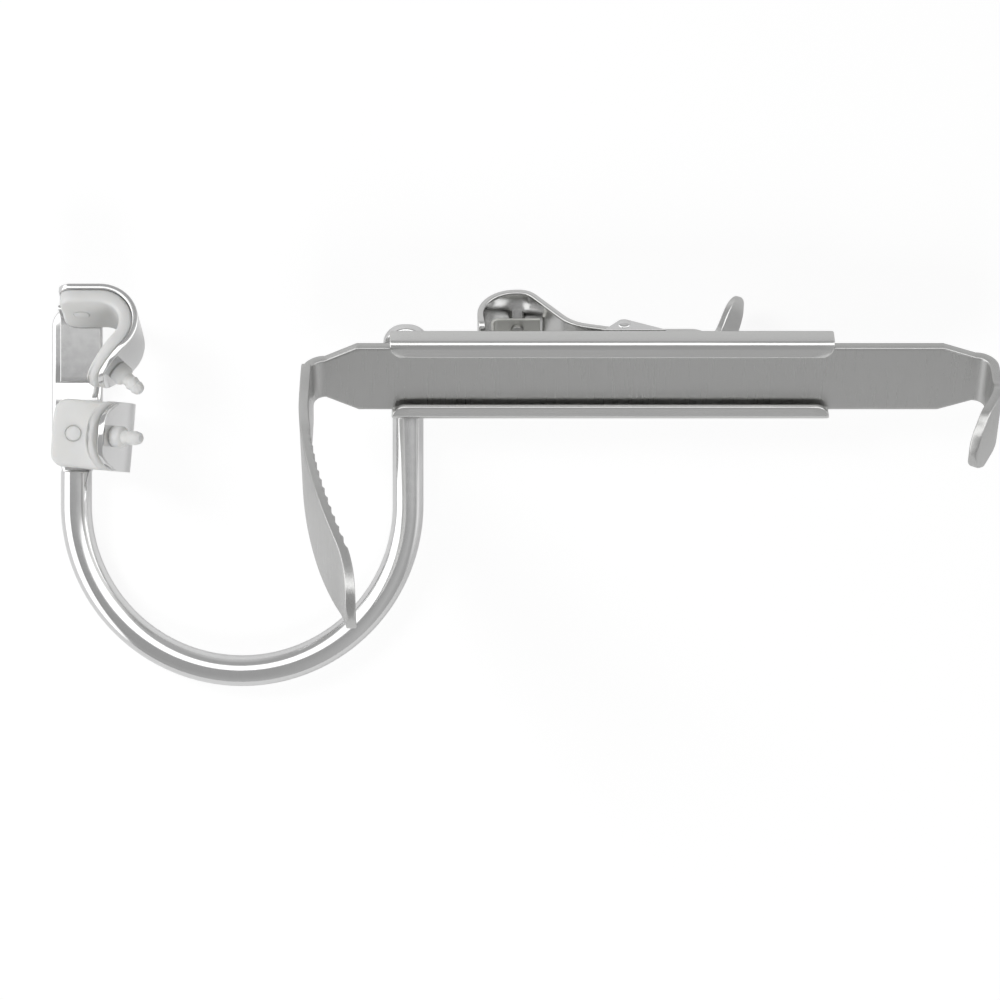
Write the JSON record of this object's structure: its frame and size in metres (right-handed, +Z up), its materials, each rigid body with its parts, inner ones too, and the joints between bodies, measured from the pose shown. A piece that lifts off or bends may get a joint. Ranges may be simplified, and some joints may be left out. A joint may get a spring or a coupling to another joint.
{
  "type": "mouth gag",
  "caption": "Side mouth gag: bent rod frame with padded hook plates for the teeth, and a ratcheted double-ended tongue bar that slides in a guide rail with a sprung release lever",
  "frame": {"origin": "middle of the underside of the flat paddle that carries the two tooth plates", "axes": "+Z up from the resting plane, +X along the guide rail from the tooth plates to the short blade, +Y away from the bow"},
  "size_m": [0.1974, 0.084, 0.0701],
  "materials": {
    "polished_rod": "polished stainless steel",
    "brushed_sheet": "finely brushed stainless sheet",
    "satin_bar": "satin, brushed across the bar",
    "hard_steel": "ground hardened steel",
    "spring_steel": "rolled spring steel",
    "silicone": "translucent milky silicone"
  },
  "bodies": {
    "frame": {"frame_rod": "polished_rod", "guide_rail": "brushed_sheet", "side_tooth_plate": "brushed_sheet", "side_tooth_pad": "silicone", "front_tooth_plate": "brushed_sheet", "front_tooth_pad": "silicone", "upper_pivot_lug": "polished_rod", "lower_pivot_lug": "polished_rod", "pivot_pin": "polished_rod"},
    "bar": {"tongue_bar": "satin_bar"},
    "lever": {"release_lever": "brushed_sheet", "pawl": "hard_steel", "pawl_rivet": "polished_rod", "spring_post": "polished_rod", "spring_screw": "polished_rod", "leaf_spring": "spring_steel"}
  },
  "joints": [
    {"name": "bar_slide", "type": "slide", "parent": "frame", "child": "bar", "axis": [1, 0, 0], "range_m": [-0.03, 0.02]},
    {"name": "lever_pivot", "type": "hinge", "parent": "frame", "child": "lever", "pos_m": [0.115, 0.00837, 0.01409], "axis": [0, 0.7431, 0.6691], "range_deg": [-2.1, 5], "stiffness_Nm_per_rad": 0.8, "deforming": ["leaf_spring"]}
  ]
}
